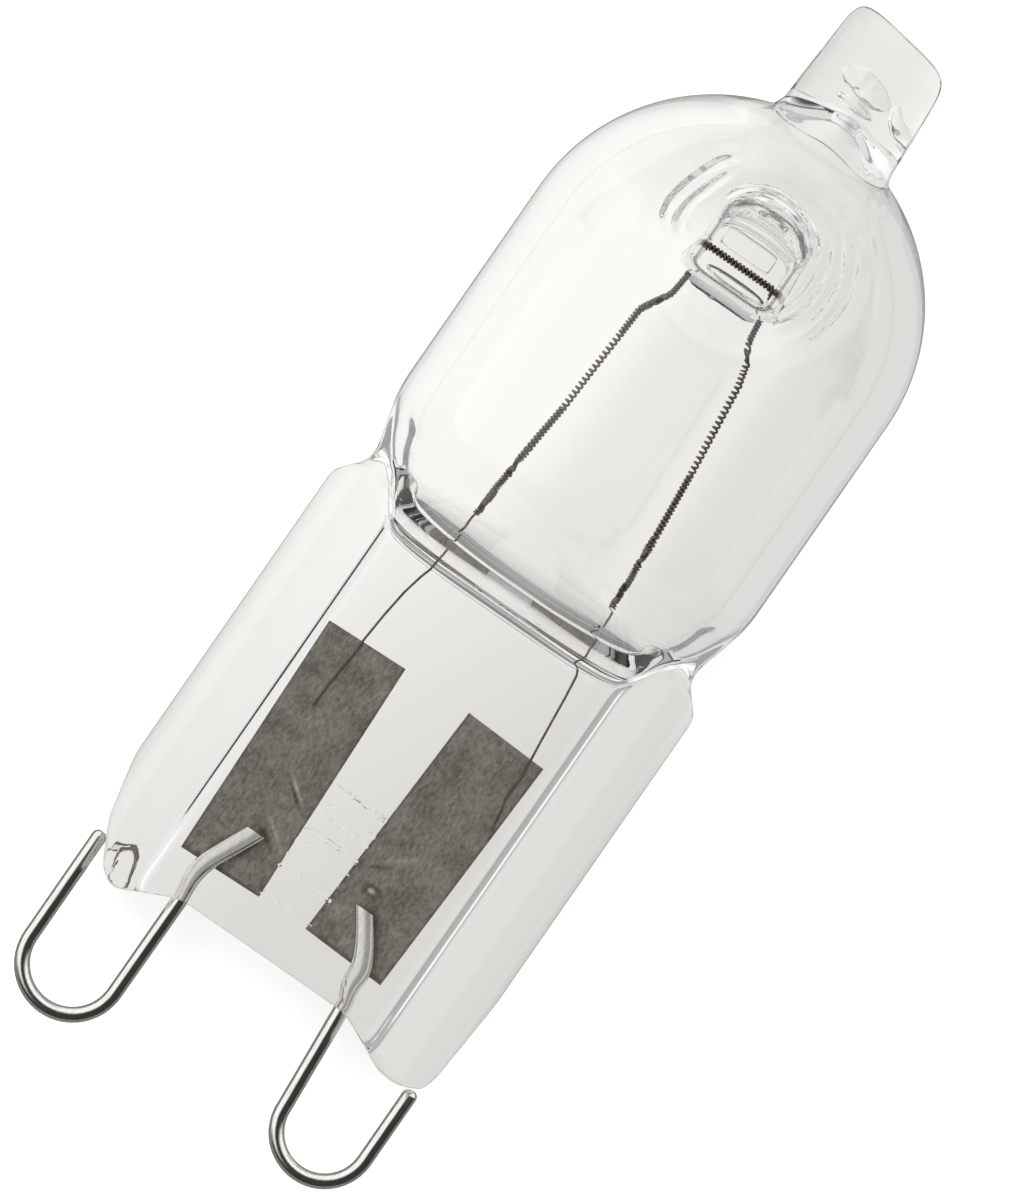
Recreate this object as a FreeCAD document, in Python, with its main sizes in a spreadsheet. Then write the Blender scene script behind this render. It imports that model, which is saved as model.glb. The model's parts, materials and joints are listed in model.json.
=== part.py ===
import FreeCAD, Part
import math
import os
import re

import Sketcher
from FreeCAD import Placement, Rotation, Vector

# Halogen capsule bulb with two looped contact pins, in millimetres.
# It is modelled upright: X across, Y along the lamp from the pinch to the exhaust tip, Z to the viewer,
# with Y = 0 near the pinch's bottom edge. At the end it is laid down as it comes to rest on a surface.

SIZES = [
    # Round bulb
    ("dome_radius", 7.0),
    ("bulb_wall", 1.0),
    ("bulb_bottom", 18.1),
    ("dome_centre", 25.9),
    # Throat between the round bulb and the flat pinch: oval sections down to the crease
    ("skirt_height", 17.5),
    ("skirt_half_width", 6.93),
    ("skirt_half_depth", 6.84),
    ("shoulder_height", 16.9),
    ("shoulder_half_width", 6.8),
    ("shoulder_half_depth", 6.43),
    ("waist_height", 16.2),
    ("waist_half_width", 6.62),
    ("waist_half_depth", 5.68),
    ("crease_height", 13.4),
    ("crease_half_width", 6.2),
    # Bottom of the gas space
    ("gas_floor_height", 14.25),
    ("gas_floor_half_width", 4.85),
    ("gas_floor_half_depth", 0.5),
    # Pinch: thin web between two thick side rails
    ("pinch_half_width", 7.25),
    ("pinch_top", 15.2),
    ("pinch_corner", 1.9),
    ("corner_share", 0.29),
    ("web_thickness", 2.2),
    ("rail_thickness", 4.4),
    ("rail_foot", 4.75),
    ("rail_shoulder", 5.55),
    ("rail_round", 0.8),
    ("web_bottom", -0.15),
    ("web_bottom_half_width", 3.25),
    ("rail_bottom", -1.15),
    ("left_rail_point", 5.4),
    ("right_rail_point", 5.9),
    ("left_chamfer_width", 6.2),
    ("left_chamfer_height", -0.45),
    ("left_flank_width", 6.72),
    ("left_flank_height", 0.9),
    ("right_chamfer_width", 6.8),
    ("right_chamfer_height", -0.75),
    ("right_flank_width", 7.05),
    ("right_flank_height", 0.6),
    ("side_start", 2.6),
    # Exhaust tip, pressed flat towards its end
    ("tip_offset", 0.18),
    ("tip_foot_depth", 1.7),
    ("tip_length", 3.85),
    ("tip_foot_radius", 2.26),
    ("tip_end_radius", 1.97),
    ("tip_root_half_depth", 2.15),
    ("tip_end_half_depth", 1.25),
    ("tip_slant_drop", 0.3),
    ("tip_round", 0.35),
    ("exhaust_bore_radius", 0.9),
    ("exhaust_bore_end_radius", 0.35),
    ("exhaust_bore_length", 2.5),
    # Dimples pressed in from front and back until their noses meet on the filament
    ("dimple_wall", 0.6),
    ("dimple_arch_height", 28.1),
    ("nose_margin", 0.2),
    ("floor_depth", 0.75),
    ("floor_half_width", 1.0),
    ("floor_bottom", 26.95),
    ("flare_depth", 3.6),
    ("flare_half_width", 1.45),
    ("flare_bottom", 26.55),
    ("mouth_depth", 7.2),
    ("mouth_half_width", 3.4),
    ("mouth_bottom", 25.2),
    # Sealing foils
    ("foil_width", 3.1),
    ("foil_length", 8.95),
    ("foil_thickness", 0.03),
    ("foil_feather", 0.35),
    ("foil_middle", 5.72),
    ("left_foil_centre", -2.91),
    ("left_foil_turn", 1.95),
    ("right_foil_centre", 2.39),
    ("right_foil_turn", -2.4),
    # Contact pins of round wire
    ("pin_radius", 0.265),
    ("pin_wire_start", 0.85),
    ("weld_gap", 0.01),
    ("left_inner_leg", -3.32),
    ("left_outer_leg", -6.68),
    ("left_loop_radius", 1.68),
    ("left_loop_bottom", -5.73),
    ("left_pin_end", 0.0),
    ("left_tail_end_x", -2.5),
    ("right_inner_leg", 3.12),
    ("right_outer_leg", 6.63),
    ("right_loop_radius", 1.6),
    ("right_loop_bottom", -5.48),
    ("right_pin_end", -1.2),
    ("right_tail_end_x", 1.85),
    ("pin_end_bevel", 0.1),
    # Inner end of each pin, pressed flat and welded to its foil
    ("tail_end", 3.05),
    ("tail_bend", 1.2),
    ("tail_lean", 0.3),
    ("tail_overlap", 0.5),
    ("tail_thickness", 0.32),
    ("tail_root_half_width", 0.29),
    ("tail_half_width", 0.36),
    ("tail_corner", 0.22),
    # Filament: one wire, wound into a coil between its two leads
    ("wire_radius", 0.045),
    ("coil_radius", 0.135),
    ("lead_overlap", 2.7),
    ("clamp_height", 27.45),
    ("clamp_half_span", 1.32),
    ("coil_entry_height", 26.7),
    ("coil_entry_half_span", 1.62),
    ("coil_neck_height", 25.2),
    ("left_coil_neck", -1.56),
    ("right_coil_neck", 1.86),
    ("coil_bend_height", 24.4),
    ("left_coil_bend", -1.96),
    ("right_coil_bend", 2.16),
    ("coil_change_height", 20.5),
    ("left_coil_change", -2.16),
    ("right_coil_change", 2.58),
    ("coil_rise", 2.2),
    ("left_coil_bottom", -2.57),
    ("right_coil_bottom", 2.98),
    ("left_lead_at_gas_floor", -2.66),
    ("right_lead_at_gas_floor", 3.1),
    ("left_lead_at_foil_top", -3.22),
    ("right_lead_at_foil_top", 3.6),
    ("left_lead_end", -3.35),
    ("right_lead_end", 3.84),
]

doc = FreeCAD.newDocument("halogen_capsule_bulb")
sheet = doc.addObject("Spreadsheet::Sheet", "Sizes")
for row, (alias, number) in enumerate(SIZES, start=1):
    sheet.set(f"A{row}", alias)
    sheet.set(f"B{row}", str(number))
    sheet.setAlias(f"B{row}", alias)
doc.recompute()


def formula(words):
    """A formula in the sizes' names, with each name pointing at its cell."""
    return re.sub(r"[a-z][a-z_]+", lambda name: "Sizes." + name.group(), words)


def value(words):
    return float(sheet.evalExpression(formula(words)))


def bind(thing, name, words):
    thing.setExpression(name, formula(words))


def new(kind, name):
    return doc.addObject(kind, name)


def plane_of(body, role):
    return next(plane for plane in body.Origin.OriginFeatures if plane.Role == role)


def sketch_on(body, name, role):
    sketch = body.newObject("Sketcher::SketchObject", name)
    sketch.AttachmentSupport = (plane_of(body, role), [""])
    sketch.MapMode = "FlatFace"
    return sketch


def place_point(sketch, edge, end, x, y):
    """Holds one end (or the centre) of a sketch edge at a point given by two formulas."""
    for kind, words in (("DistanceX", x), ("DistanceY", y)):
        number = sketch.addConstraint(Sketcher.Constraint(kind, edge, end, value(words)))
        bind(sketch, f"Constraints[{number}]", words)


def hold_radius(sketch, edge, words):
    number = sketch.addConstraint(Sketcher.Constraint("Radius", edge, value(words)))
    bind(sketch, f"Constraints[{number}]", words)


START, END, CENTRE = range(1, 4)
# How near to a plane an edge counts as lying on it
TOUCH = 0.01
# Sides of the rings that the wires are drawn with
RING_SIDES = 12
# Straight runs in the gas space's quarter round crown
CROWN_RUNS = 8


def draw_polygon(sketch, corners):
    """A closed outline of straight edges through corners that are given as pairs of formulas."""
    points = [Vector(value(x), value(y), 0) for x, y in corners]
    count = len(points)
    first = sketch.GeometryCount
    for k in range(count):
        sketch.addGeometry(Part.LineSegment(points[k], points[(k + 1) % count]))
    for k in range(count):
        after = first + (k + 1) % count
        sketch.addConstraint(Sketcher.Constraint("Coincident", first + k, END, after, START))
        place_point(sketch, first + k, START, *corners[k])


def draw_polyline(sketch, corners):
    """An open path of straight runs."""
    points = [Vector(value(x), value(y), 0) for x, y in corners]
    for k in range(len(points) - 1):
        sketch.addGeometry(Part.LineSegment(points[k], points[k + 1]))
        place_point(sketch, k, START, *corners[k])
        if k:
            sketch.addConstraint(Sketcher.Constraint("Coincident", k - 1, END, k, START))
    place_point(sketch, len(points) - 2, END, *corners[-1])


def bulb_profile(sketch):
    """Half section of a tube that ends in a half ball."""
    side, low, high = value("dome_radius"), value("bulb_bottom"), value("dome_centre")
    sketch.addGeometry(Part.LineSegment(Vector(0, low, 0), Vector(side, low, 0)))
    sketch.addGeometry(Part.LineSegment(Vector(side, low, 0), Vector(side, high, 0)))
    ball = Part.Circle(Vector(0, high, 0), Vector(0, 0, 1), side)
    sketch.addGeometry(Part.ArcOfCircle(ball, 0, math.pi / 2))
    sketch.addGeometry(Part.LineSegment(Vector(0, high + side, 0), Vector(0, low, 0)))
    floor_line, side_line, crown_arc, middle_line = range(4)
    sketch.addConstraint(Sketcher.Constraint("Coincident", floor_line, END, side_line, START))
    sketch.addConstraint(Sketcher.Constraint("Coincident", side_line, END, crown_arc, START))
    sketch.addConstraint(Sketcher.Constraint("Coincident", crown_arc, END, middle_line, START))
    sketch.addConstraint(Sketcher.Constraint("Coincident", middle_line, END, floor_line, START))
    sketch.addConstraint(Sketcher.Constraint("Vertical", middle_line))
    place_point(sketch, floor_line, START, "0", "bulb_bottom")
    place_point(sketch, side_line, START, "dome_radius", "bulb_bottom")
    place_point(sketch, side_line, END, "dome_radius", "dome_centre")
    place_point(sketch, crown_arc, CENTRE, "0", "dome_centre")


def gas_profile(sketch):
    """Half section of the gas space in the bulb. Its crown is drawn with short straight runs,
    which lie within 0.03 mm of a half ball."""
    radius = "(dome_radius - bulb_wall)"
    turns = [math.pi / 2 * k / CROWN_RUNS for k in range(CROWN_RUNS)]
    draw_polygon(sketch, [("0", "bulb_bottom"), (radius, "bulb_bottom")] + [
        (f"{math.cos(turn):.6f} * {radius}", f"dome_centre + {math.sin(turn):.6f} * {radius}")
        for turn in turns
    ] + [("0", f"dome_centre + {radius}")])


def revolved(name, draw_profile):
    body = new("PartDesign::Body", name)
    sketch = sketch_on(body, name + "_profile", "XY_Plane")
    draw_profile(sketch)
    turned = body.newObject("PartDesign::Revolution", name + "_turned")
    turned.Profile = sketch
    turned.ReferenceAxis = (sketch, ["V_Axis"])
    turned.Angle = 360
    return body


def oval(name, height, half_width, half_depth):
    """An oval section across the lamp's length."""
    section = new("Part::Ellipse", name)
    section.Placement = Placement(Vector(), Rotation(Vector(1, 0, 0), 90))
    bind(section, "MajorRadius", half_width)
    bind(section, "MinorRadius", half_depth)
    bind(section, "Placement.Base.y", height)
    return section


def loft(name, sections):
    """A skin with straight lines from each section to the next, made solid."""
    skin = new("Part::Loft", name)
    skin.Sections = sections
    skin.Solid = True
    skin.Ruled = True
    return skin


def fuse(name, pieces):
    whole = new("Part::MultiFuse", name)
    whole.Shapes = pieces
    return whole


def cut(name, base, tool):
    rest = new("Part::Cut", name)
    rest.Base = base
    rest.Tool = tool
    return rest


def edges_where(shape, test):
    """Names of the edges whose middle passes the test."""
    found = []
    for k, edge in enumerate(shape.Edges, start=1):
        middle = edge.valueAt((edge.FirstParameter + edge.LastParameter) / 2)
        if test(middle, edge):
            found.append(f"Edge{k}")
    return found


# The sections of the throat that both of its surfaces share, from the bulb downwards
THROAT_LEVELS = ("skirt", "shoulder", "waist")


def throat_sections(side, wall):
    return [
        oval(f"{side}_bulb_end", "bulb_bottom", f"dome_radius{wall}", f"dome_radius{wall}"),
    ] + [
        oval(f"{side}_{level}", f"{level}_height", f"{level}_half_width{wall}",
             f"{level}_half_depth{wall}")
        for level in THROAT_LEVELS
    ]


# Outside of the throat: round under the bulb, flat where it meets the web
def make_throat():
    crease = oval("throat_crease", "crease_height", "crease_half_width", "web_thickness / 2")
    return loft("throat", throat_sections("outer", "") + [crease])


# Flat pinch: the outline padded to the rails' thickness, then the web pressed in from both sides
def make_pinch():
    body = new("PartDesign::Body", "pinch")
    outline = sketch_on(body, "pinch_outline", "XY_Plane")
    draw_polygon(outline, [
        ("-web_bottom_half_width", "web_bottom"),
        ("web_bottom_half_width", "web_bottom"),
        ("right_rail_point", "rail_bottom"),
        ("right_chamfer_width", "right_chamfer_height"),
        ("right_flank_width", "right_flank_height"),
        ("pinch_half_width", "side_start"),
        ("pinch_half_width", "pinch_top - pinch_corner"),
        ("pinch_half_width - corner_share * pinch_corner",
         "pinch_top - corner_share * pinch_corner"),
        ("pinch_half_width - pinch_corner", "pinch_top"),
        ("-pinch_half_width + pinch_corner", "pinch_top"),
        ("-pinch_half_width + corner_share * pinch_corner",
         "pinch_top - corner_share * pinch_corner"),
        ("-pinch_half_width", "pinch_top - pinch_corner"),
        ("-pinch_half_width", "side_start"),
        ("-left_flank_width", "left_flank_height"),
        ("-left_chamfer_width", "left_chamfer_height"),
        ("-left_rail_point", "rail_bottom"),
    ])
    block = body.newObject("PartDesign::Pad", "pinch_block")
    block.Profile = outline
    block.Midplane = True
    bind(block, "Length", "rail_thickness")
    doc.recompute()

    rounded = body.newObject("PartDesign::Fillet", "rounded_rails")
    half = value("rail_thickness") / 2
    rounded.Base = (block, edges_where(
        block.Shape, lambda at, edge: abs(abs(at.z) - half) < TOUCH))
    bind(rounded, "Radius", "rail_round")
    doc.recompute()

    webs = sketch_on(body, "web_section", "XZ_Plane")
    for face in ("", "-"):
        draw_polygon(webs, [
            ("-rail_foot", face + "web_thickness / 2"),
            ("rail_foot", face + "web_thickness / 2"),
            ("rail_shoulder + (rail_shoulder - rail_foot)",
             face + "(rail_thickness - web_thickness / 2)"),
            ("-rail_shoulder - (rail_shoulder - rail_foot)",
             face + "(rail_thickness - web_thickness / 2)"),
        ])
    pressed = body.newObject("PartDesign::Pocket", "pressed_web")
    pressed.Profile = webs
    pressed.Midplane = True
    bind(pressed, "Length", "4 * (pinch_top - rail_bottom)")
    return body


def prism(name, role, corners, length):
    """An outline on one of the main planes, padded to both sides."""
    body = new("PartDesign::Body", name + "_body")
    outline = sketch_on(body, name + "_outline", role)
    draw_polygon(outline, corners)
    block = body.newObject("PartDesign::Pad", name)
    block.Profile = outline
    block.Midplane = True
    bind(block, "Length", length)
    return body


# Exhaust tube remnant: tapering, pressed flat from front and back and cut on a slant at its end
def make_tip():
    foot = "(dome_centre + dome_radius - tip_foot_depth)"
    end = "dome_centre + dome_radius + tip_length"
    stub = new("Part::Cone", "tip_stub")
    stub.Placement = Placement(Vector(), Rotation(Vector(1, 0, 0), -90))
    bind(stub, "Radius1", "tip_foot_radius")
    bind(stub, "Radius2", "tip_end_radius")
    bind(stub, "Height", "tip_foot_depth + tip_length + tip_slant_drop")
    bind(stub, "Placement.Base.x", "tip_offset")
    bind(stub, "Placement.Base.y", foot)
    # The side plane's sketch has the lamp's length upwards and its depth across
    flats = prism("tip_flats", "YZ_Plane", [
        (foot, "-tip_foot_radius"), (foot, "tip_foot_radius"),
        ("dome_centre + dome_radius", "tip_root_half_depth"),
        (f"{end} + tip_slant_drop", "tip_end_half_depth"),
        (f"{end} + tip_slant_drop", "-tip_end_half_depth"),
        ("dome_centre + dome_radius", "-tip_root_half_depth"),
    ], "4 * tip_foot_radius")
    slant = prism("tip_slant", "XY_Plane", [
        ("-2 * tip_foot_radius", foot), ("2 * tip_foot_radius", foot),
        ("2 * tip_foot_radius", f"{end} - 2 * tip_slant_drop"),
        ("-2 * tip_foot_radius", f"{end} + 2 * tip_slant_drop"),
    ], "4 * tip_foot_radius")
    pressed = new("Part::MultiCommon", "pressed_tip")
    pressed.Shapes = [stub, flats, slant]
    doc.recompute()
    height = value(end)
    reach = value("2 * tip_slant_drop")
    rounded = new("Part::Chamfer", "tip")
    rounded.Base = pressed
    radius = value("tip_round")
    rounded.Edges = [
        (int(name[4:]), radius, radius)
        for name in edges_where(pressed.Shape, lambda at, edge: abs(at.y - height) < reach
                                and edge.BoundBox.YLength < reach)
    ]
    return rounded


# Gas space inside the bulb, with the bore that the exhaust tube left
def make_gas_space():
    capsule = revolved("gas_capsule", gas_profile)
    floor = oval("gas_floor", "gas_floor_height", "gas_floor_half_width", "gas_floor_half_depth")
    bottom = loft("gas_throat", throat_sections("inner", " - bulb_wall") + [floor])
    bore = new("Part::Cone", "exhaust_bore")
    bore.Placement = Placement(Vector(), Rotation(Vector(1, 0, 0), -90))
    bind(bore, "Radius1", "exhaust_bore_radius")
    bind(bore, "Radius2", "exhaust_bore_end_radius")
    bind(bore, "Height", "exhaust_bore_length")
    bind(bore, "Placement.Base.x", "tip_offset")
    bind(bore, "Placement.Base.y", "dome_centre + dome_radius - 2 * bulb_wall")
    return fuse("gas_space", [capsule, bottom, bore])


def arched_section(name, depth, half_width, bottom, arch):
    """A section across a dimple: flat bottom, upright sides and a round arch on top."""
    sketch = new("Sketcher::SketchObject", name)
    bind(sketch, "Placement.Base.z", depth)
    half, low, spring = value(half_width), value(bottom), value(arch)
    sketch.addGeometry(Part.LineSegment(Vector(-half, low, 0), Vector(half, low, 0)))
    sketch.addGeometry(Part.LineSegment(Vector(half, low, 0), Vector(half, spring, 0)))
    round_top = Part.Circle(Vector(0, spring, 0), Vector(0, 0, 1), half)
    sketch.addGeometry(Part.ArcOfCircle(round_top, 0, math.pi))
    sketch.addGeometry(Part.LineSegment(Vector(-half, spring, 0), Vector(-half, low, 0)))
    floor_line, right_line, arch_arc, left_line = range(4)
    sketch.addConstraint(Sketcher.Constraint("Coincident", floor_line, END, right_line, START))
    sketch.addConstraint(Sketcher.Constraint("Tangent", right_line, END, arch_arc, START))
    sketch.addConstraint(Sketcher.Constraint("Tangent", arch_arc, END, left_line, START))
    sketch.addConstraint(Sketcher.Constraint("Coincident", left_line, END, floor_line, START))
    place_point(sketch, floor_line, START, f"-({half_width})", bottom)
    place_point(sketch, floor_line, END, half_width, bottom)
    place_point(sketch, right_line, END, half_width, arch)
    sketch.addConstraint(Sketcher.Constraint("Vertical", left_line))
    return sketch


# The levels of a dimple, from its floor inside the lamp to its mouth in the bulb's surface
DIMPLE_LEVELS = ("floor", "flare", "mouth")


def make_dimple_hollow(side, sign):
    return loft(f"{side}_dimple_hollow", [
        arched_section(f"{side}_hollow_{level}", f"{sign}{level}_depth", f"{level}_half_width",
                       f"{level}_bottom", "dimple_arch_height")
        for level in DIMPLE_LEVELS
    ])


def make_dimple_wall(side, sign):
    nose = arched_section(f"{side}_nose", "0", "floor_half_width + nose_margin",
                          "floor_bottom - nose_margin", "dimple_arch_height")
    outer = [
        arched_section(f"{side}_wall_{level}", f"{sign}{level}_depth",
                       f"{level}_half_width + dimple_wall", f"{level}_bottom - dimple_wall",
                       "dimple_arch_height")
        for level in DIMPLE_LEVELS
    ]
    return loft(f"{side}_dimple_wall", [nose] + outer)


# Sealing foil with knife edges
def make_foil(side):
    body = new("PartDesign::Body", f"{side}_foil_strip")
    section = sketch_on(body, f"{side}_foil_section", "XZ_Plane")
    half, flat, thick = "foil_width / 2", "(foil_width / 2 - foil_feather)", "foil_thickness / 2"
    draw_polygon(section, [
        (f"-{half}", "0"), (f"-{flat}", f"-{thick}"), (flat, f"-{thick}"),
        (half, "0"), (flat, thick), (f"-{flat}", thick),
    ])
    strip = body.newObject("PartDesign::Pad", f"{side}_foil_pad")
    strip.Profile = section
    strip.Midplane = True
    bind(strip, "Length", "foil_length")
    body.Placement.Rotation = Rotation(Vector(0, 0, 1), value(f"{side}_foil_turn"))
    bind(body, "Placement.Base.x", f"{side}_foil_centre")
    bind(body, "Placement.Base.y", "foil_middle")
    bind(body, "Placement.Base.z", "-wire_radius - foil_thickness / 2")
    return body


def draw_ring(sketch, radius):
    """A regular outline with a corner at each quarter. On wires this thin it lies within
    0.01 mm of a circle, and their bends come out light."""
    size = value(radius)
    sketch.addGeometry(Part.Circle(Vector(0, 0, 0), Vector(0, 0, 1), size), True)
    sketch.addConstraint(Sketcher.Constraint("Coincident", 0, CENTRE, -1, START))
    hold_radius(sketch, 0, radius)
    turn = 2 * math.pi / RING_SIDES
    corners = [Vector(size * math.cos(turn * k), size * math.sin(turn * k), 0)
               for k in range(RING_SIDES + 1)]
    for start, end in zip(corners, corners[1:]):
        sketch.addGeometry(Part.LineSegment(start, end))
    for k in range(1, RING_SIDES + 1):
        sketch.addConstraint(
            Sketcher.Constraint("Coincident", k, END, k % RING_SIDES + 1, START))
        sketch.addConstraint(Sketcher.Constraint("PointOnObject", k, START, 0))
        if k > 1:
            sketch.addConstraint(Sketcher.Constraint("Equal", 1, k))
    sketch.addConstraint(Sketcher.Constraint("PointOnObject", 1, START, -1))


def pipe(body, name, path, radius):
    """A wire along a path sketch of the same body."""
    ring = body.newObject("Sketcher::SketchObject", name + "_ring")
    ring.AttachmentSupport = [(path, "Edge1"), (path, "Vertex1")]
    ring.MapMode = "NormalToEdge"
    draw_ring(ring, radius)
    wire = body.newObject("PartDesign::AdditivePipe", name)
    wire.Profile = ring
    wire.Spine = (path, [f"Edge{k + 1}" for k in range(path.GeometryCount)])
    wire.Transition = "Right corner"
    return wire


# Contact loop: inner leg, half turn and outer leg, in one wire. The inner leg leaves the glass
# at a fixed point and runs straight onto the turn, so it leans where the loop is set off.
def make_loop(side, sign):
    inner, outer = value(f"{side}_inner_leg"), value(f"{side}_outer_leg")
    bend, low = value(f"{side}_loop_radius"), value(f"{side}_loop_bottom")
    start, finish = value("pin_wire_start"), value(f"{side}_pin_end")
    centre = Vector(outer - sign * bend, low + bend, 0)
    reach = Vector(inner, start, 0).sub(centre)
    spread = math.acos(min(1.0, bend / reach.Length))
    heading = math.atan2(reach.y, reach.x) + sign * spread
    touch = centre.add(Vector(math.cos(heading), math.sin(heading), 0).multiply(bend))
    corner = Vector(outer, centre.y, 0)

    body = new("PartDesign::Body", f"{side}_loop")
    path = sketch_on(body, f"{side}_loop_path", "XY_Plane")
    path.addGeometry(Part.LineSegment(Vector(inner, start, 0), touch))
    turn = Part.Circle(centre, Vector(0, 0, 1), bend)
    if sign > 0:
        path.addGeometry(Part.ArcOfCircle(turn, heading, 2 * math.pi))
        near, far = START, END
    else:
        path.addGeometry(Part.ArcOfCircle(turn, math.pi, heading + 2 * math.pi))
        near, far = END, START
    path.addGeometry(Part.LineSegment(corner, Vector(outer, finish, 0)))
    inner_leg, loop_turn, outer_leg = range(3)
    path.addConstraint(Sketcher.Constraint("Tangent", inner_leg, END, loop_turn, near))
    path.addConstraint(Sketcher.Constraint("Tangent", loop_turn, far, outer_leg, START))
    place_point(path, inner_leg, START, f"{side}_inner_leg", "pin_wire_start")
    place_point(path, outer_leg, END, f"{side}_outer_leg", f"{side}_pin_end")
    hold_radius(path, loop_turn, f"{side}_loop_radius")
    number = path.addConstraint(Sketcher.Constraint("DistanceY", loop_turn, CENTRE, centre.y))
    bind(path, f"Constraints[{number}]", f"{side}_loop_bottom + {side}_loop_radius")
    path.addConstraint(Sketcher.Constraint("Vertical", outer_leg))
    doc.recompute()
    wire = pipe(body, f"{side}_loop_wire", path, "pin_radius")
    doc.recompute()
    rounded = body.newObject("PartDesign::Chamfer", f"{side}_loop_end")
    rounded.Base = (wire, edges_where(wire.Shape, lambda at, edge: abs(at.y - finish) < TOUCH
                                      and abs(at.x - outer) < value("2 * pin_radius")))
    bind(rounded, "Size", "pin_end_bevel")
    return body


# Inner end of a pin: pressed flat, bent onto the foil and welded to it
def make_tail(side):
    leg, tip = f"{side}_inner_leg", f"{side}_tail_end_x"
    root, wide = "tail_root_half_width", "tail_half_width"
    bend = f"({leg} + tail_lean * ({tip} - {leg}))"
    corners = [
        (f"{leg} - {root}", "pin_wire_start - tail_overlap"),
        (f"{leg} + {root}", "pin_wire_start - tail_overlap"),
        (f"{bend} + {wide}", "tail_bend"), (f"{tip} + {wide}", "tail_end"),
        (f"{tip} - {wide}", "tail_end"), (f"{bend} - {wide}", "tail_bend"),
    ]
    body = new("PartDesign::Body", f"{side}_tail")
    outline = sketch_on(body, f"{side}_tail_outline", "XY_Plane")
    draw_polygon(outline, corners)
    blade = body.newObject("PartDesign::Pad", f"{side}_tail_blade")
    blade.Profile = outline
    bind(blade, "Length", "tail_thickness")
    bind(body, "Placement.Base.z", "-wire_radius + weld_gap")
    doc.recompute()
    corner = body.newObject("PartDesign::Fillet", f"{side}_tail_corners")
    high = value("tail_end")
    corner.Base = (blade, edges_where(
        blade.Shape, lambda at, edge: abs(at.y - high) < TOUCH
        and edge.BoundBox.ZLength > edge.BoundBox.XLength))
    bind(corner, "Radius", "tail_corner")
    return body


def make_pin(side, sign):
    return fuse(f"{side}_pin_wire", [make_loop(side, sign), make_tail(side)])


# Filament: leads on the foils, close-wound and open coil, and the run clamped between the dimples
def make_filament():
    body = new("PartDesign::Body", "filament_wire")
    foil_top = "foil_middle + foil_length / 2"
    for side, sign in (("left", "-"), ("right", "")):
        path = sketch_on(body, f"{side}_lead_path", "XY_Plane")
        draw_polyline(path, [
            (f"{side}_lead_end", f"{foil_top} - lead_overlap"),
            (f"{side}_lead_at_foil_top", foil_top),
            (f"{side}_lead_at_gas_floor", "gas_floor_height"),
            (f"{side}_coil_bottom", "gas_floor_height + coil_rise"),
            (f"{side}_coil_bottom", "gas_floor_height + coil_rise + coil_radius"),
        ])
        doc.recompute()
        pipe(body, f"{side}_lead", path, "wire_radius")
    rising = [
        ("{side}_coil_bottom", "gas_floor_height + coil_rise"),
        ("{side}_coil_change", "coil_change_height"),
        ("{side}_coil_bend", "coil_bend_height"),
        ("{side}_coil_neck", "coil_neck_height"),
        ("{sign}coil_entry_half_span", "coil_entry_height"),
        ("{sign}clamp_half_span", "clamp_height"),
    ]
    left = [(x.format(side="left", sign="-"), y) for x, y in rising]
    right = [(x.format(side="right", sign=""), y) for x, y in rising]
    path = sketch_on(body, "coil_path", "XY_Plane")
    draw_polyline(path, left + right[::-1])
    doc.recompute()
    pipe(body, "coil", path, "coil_radius")
    return body


def make_envelope(inserts):
    capsule = revolved("bulb_capsule", bulb_profile)
    outside = fuse("glass_outside", [capsule, make_throat(), make_pinch(), make_tip()])
    blown = cut("blown_glass", outside, make_gas_space())
    walls = fuse("dimple_walls", [make_dimple_wall("front", ""), make_dimple_wall("back", "-")])
    trimmed = new("Part::MultiCommon", "dimple_walls_in_bulb")
    trimmed.Shapes = [walls, outside]
    dimpled = fuse("glass_with_dimples", [blown, trimmed])
    hollows = fuse("dimple_hollows",
                   [make_dimple_hollow("front", ""), make_dimple_hollow("back", "-")])
    open_dimples = cut("glass_with_open_dimples", dimpled, hollows)
    seats = new("Part::Compound", "seats_in_glass")
    seats.Links = inserts
    return cut("glass", open_dimples, seats)


def laid_down(pieces):
    """The placement that lays the lamp on the bulb's skirt and the rails' lower ends, with its
    origin under the middle of its bounding box."""
    rail_half, rail_low = value("rail_thickness") / 2, value("rail_bottom")
    skirt = [(value("bulb_bottom"), value("dome_radius"))] + [
        (value(f"{level}_height"), value(f"{level}_half_depth")) for level in THROAT_LEVELS
    ]
    tilt = max(math.degrees(math.atan2(depth - rail_half, level - rail_low))
               for level, depth in skirt)
    turned = Placement(Vector(), Rotation(Vector(1, 0, 0), tilt))
    whole = Part.Compound([piece.Shape for piece in pieces])
    whole.Placement = turned
    box = whole.optimalBoundingBox(False, False)
    turned.Base = Vector(-(box.XMin + box.XMax) / 2, -(box.YMin + box.YMax) / 2, -box.ZMin)
    return turned


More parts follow.
